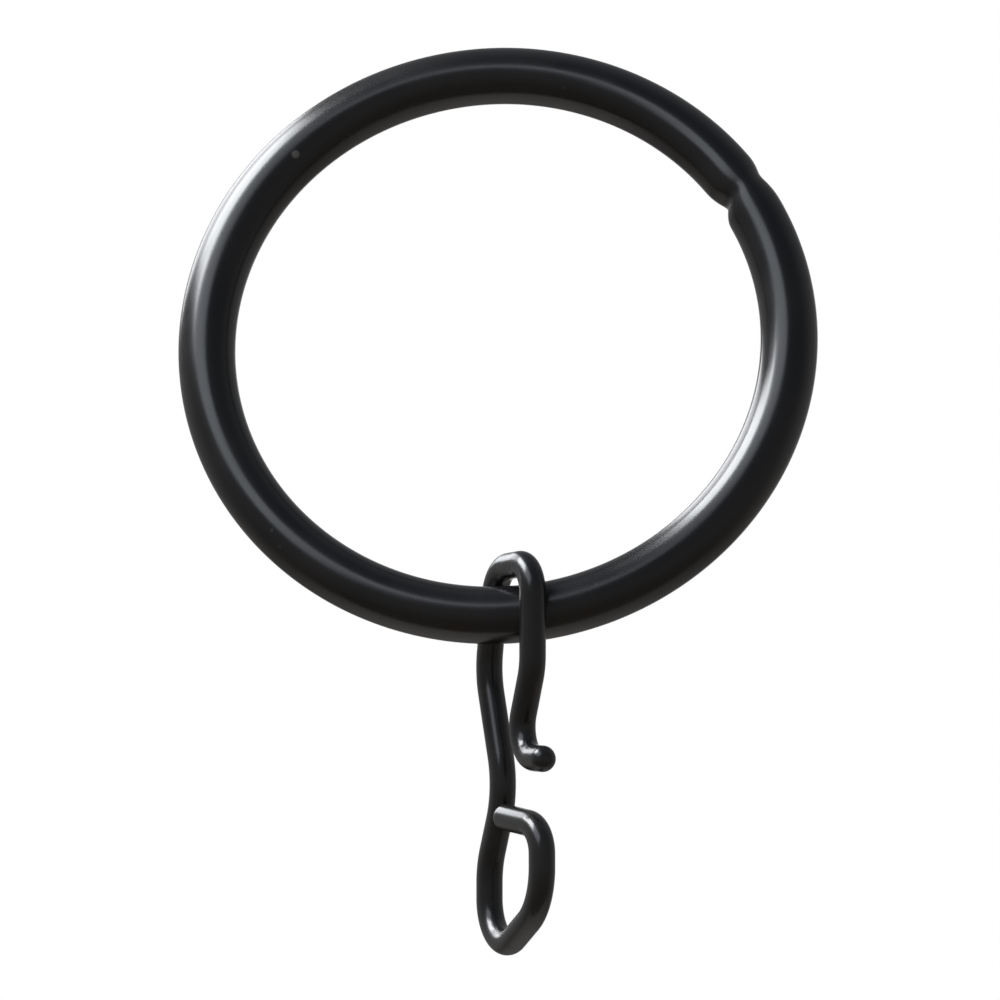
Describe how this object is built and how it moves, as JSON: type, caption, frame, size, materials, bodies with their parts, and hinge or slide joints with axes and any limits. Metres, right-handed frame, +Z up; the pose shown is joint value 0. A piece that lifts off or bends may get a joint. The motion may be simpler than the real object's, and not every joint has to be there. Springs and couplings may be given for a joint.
{
  "type": "curtain ring with hook",
  "caption": "Round-bar curtain ring with a welded seam and a bent wire hook hung on it, its lower end closed to an eye for the curtain.",
  "frame": {"origin": "centre of the ring", "axes": "+Z up and along the hanging hook, Y along the pole that the ring slides on, with -Y towards the viewer, +X to the viewer's right; the ring leans about X with its top towards +Y"},
  "size_m": [0.046, 0.0235, 0.0651],
  "materials": {
    "ring_paint": "black satin-gloss paint on steel",
    "hook_paint": "black satin-gloss paint on steel wire"
  },
  "bodies": {
    "ring": {"ring": "ring_paint"},
    "hook": {"hook": "hook_paint"}
  },
  "joints": [
    {"name": "hook_swing", "type": "hinge", "parent": "ring", "child": "hook", "pos_m": [0.00161, -0.00801, -0.01934], "axis": [0.9971, 0.0294, 0.0709], "continuous": true}
  ]
}
